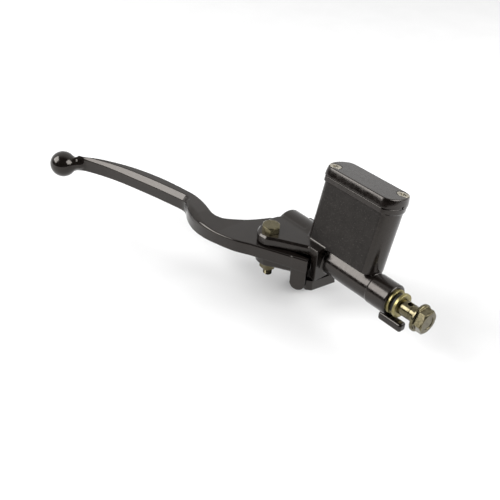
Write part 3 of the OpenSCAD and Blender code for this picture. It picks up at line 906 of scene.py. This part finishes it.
def coil(name, x0, x1, radius, wire, turns):
    """A compression spring: a tube swept along a helix, its ends closed."""
    steps, sides = turns * 24, 10
    verts, faces = [], []
    for i in range(steps + 1):
        t = i / steps
        a = 2 * math.pi * turns * t
        ease = 0.5 - 0.5 * math.cos(math.pi * t)
        x = x0 + wire + (x1 - x0 - 2 * wire) * (0.35 * ease + 0.65 * t)
        out = Vector((0, math.cos(a), math.sin(a)))
        for k in range(sides):
            b = 2 * math.pi * k / sides
            r = radius + wire * math.cos(b)
            verts.append((x + wire * math.sin(b), AXIS_Y + r * out.y, AXIS_Z + r * out.z))
    for i in range(steps):
        for k in range(sides):
            a, b = i * sides + k, i * sides + (k + 1) % sides
            faces.append([a, b, b + sides, a + sides])
    faces.append(list(range(sides))[::-1])
    faces.append([steps * sides + k for k in range(sides)])
    return piece(name, verts, faces)


spring_lo, spring_hi = box_mm("return_spring")
spring = dress(coil("coil_spring", spring_lo[0], spring_hi[0], 4.2, 0.5, 7), "return_spring",
               "cylinder_body", "spring_steel")
shorten(spring)

slot_of = {row["node"]: row["material_slot"] for row in frame["record"]["subparts"]}
for node in ("diaphragm", "diaphragm_plate", "port_baffle", "clamp_washers", "lever_bush",
             "piston", "primary_cup", "secondary_cup", "stop_washer", "circlip"):
    obj = frame["nodes"][node]
    for k in range(len(obj.material_slots)):
        obj.material_slots[k].material = MATERIALS[slot_of[node]]

# ---- stage ------------------------------------------------------------------------------

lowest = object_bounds()[0].z


def flat_floor():
    n = Nodes("floor_white")
    colour = n.ramp(n.noise(40, 2), [(0.3, (0.77, 0.77, 0.77)), (0.7, (0.79, 0.79, 0.79))])
    n.shade(colour, n.remap(n.noise(30, 2), 0.75, 0.85))
    bm = bmesh.new()
    bmesh.ops.create_circle(bm, cap_ends=True, segments=96, radius=1.0)
    mesh = bpy.data.meshes.new("floor")
    bm.to_mesh(mesh)
    bm.free()
    obj = bpy.data.objects.new("floor", mesh)
    obj.location.z = lowest - 0.0002
    obj.data.materials.append(n.mat)
    bpy.context.scene.collection.objects.link(obj)


flat_floor()


def direction(azimuth, elevation):
    """Unit vector towards a place round the object; azimuth 0 is in front, 90 at +X."""
    a, e = math.radians(azimuth), math.radians(elevation)
    return Vector((math.sin(a) * math.cos(e), -math.cos(a) * math.cos(e), math.sin(e)))


CENTRE = (cad_lo + cad_hi) / 2


def softbox(name, azimuth, elevation, distance, width, height, power):
    data = bpy.data.lights.new(name, "AREA")
    data.shape = "RECTANGLE"
    data.size, data.size_y = width, height
    data.energy = power
    obj = bpy.data.objects.new(name, data)
    back = direction(azimuth, elevation)
    obj.location = CENTRE + back * distance
    obj.rotation_mode = "QUATERNION"
    obj.rotation_quaternion = back.to_track_quat("Z", "Y")
    bpy.context.scene.collection.objects.link(obj)


softbox("softbox_left", -36, 36, 1.4, 1.0, 0.9, 26)
softbox("softbox_right", 122, 30, 1.4, 1.0, 0.8, 22)


def studio():
    """White low down and behind the object, dark overhead and on the camera's side."""
    world = bpy.data.worlds.new("studio")
    world.use_nodes = True
    tree = world.node_tree
    tree.nodes.clear()
    coord = tree.nodes.new("ShaderNodeTexCoord")
    dot = tree.nodes.new("ShaderNodeVectorMath")
    dot.operation = "DOT_PRODUCT"
    away = direction(46.9 + 180, 12)
    dot.inputs[1].default_value = away
    tree.links.new(coord.outputs["Generated"], dot.inputs[0])
    fade = tree.nodes.new("ShaderNodeMapRange")
    fade.interpolation_type = "SMOOTHSTEP"
    for key, value in zip(("From Min", "From Max", "To Min", "To Max"), (-0.05, 0.65, 0.01, 1.0)):
        fade.inputs[key].default_value = value
    tree.links.new(dot.outputs["Value"], fade.inputs["Value"])
    path = tree.nodes.new("ShaderNodeLightPath")
    strength = tree.nodes.new("ShaderNodeMath")
    strength.operation = "MAXIMUM"
    tree.links.new(fade.outputs["Result"], strength.inputs[0])
    tree.links.new(path.outputs["Is Camera Ray"], strength.inputs[1])
    shade = tree.nodes.new("ShaderNodeBackground")
    shade.inputs["Color"].default_value = (1, 1, 1, 1)
    tree.links.new(strength.outputs[0], shade.inputs["Strength"])
    out = tree.nodes.new("ShaderNodeOutputWorld")
    tree.links.new(shade.outputs[0], out.inputs["Surface"])
    bpy.context.scene.world = world


studio()

# ---- camera -------------------------------------------------------------------------------

CAMERA_AZIMUTH, CAMERA_ELEVATION, CAMERA_ROLL = 46.9, 35.65, 3.97
CAMERA_AIM = Vector((36.5, -97.2, 63.6)) * MM
CAMERA_DISTANCE = 0.4


def camera():
    data = bpy.data.cameras.new("camera")
    data.sensor_width, data.lens = 36.0, 54.0
    data.clip_start = 0.01
    obj = bpy.data.objects.new("camera", data)
    back = direction(CAMERA_AZIMUTH, CAMERA_ELEVATION)
    obj.location = CAMERA_AIM + back * CAMERA_DISTANCE
    obj.rotation_mode = "QUATERNION"
    level = back.to_track_quat("Z", "Y")
    roll = Matrix.Rotation(math.radians(CAMERA_ROLL), 4, "Z").to_quaternion()
    obj.rotation_quaternion = level @ roll
    bpy.context.scene.collection.objects.link(obj)
    bpy.context.scene.camera = obj


camera()
bpy.context.scene.view_settings.view_transform = "Standard"
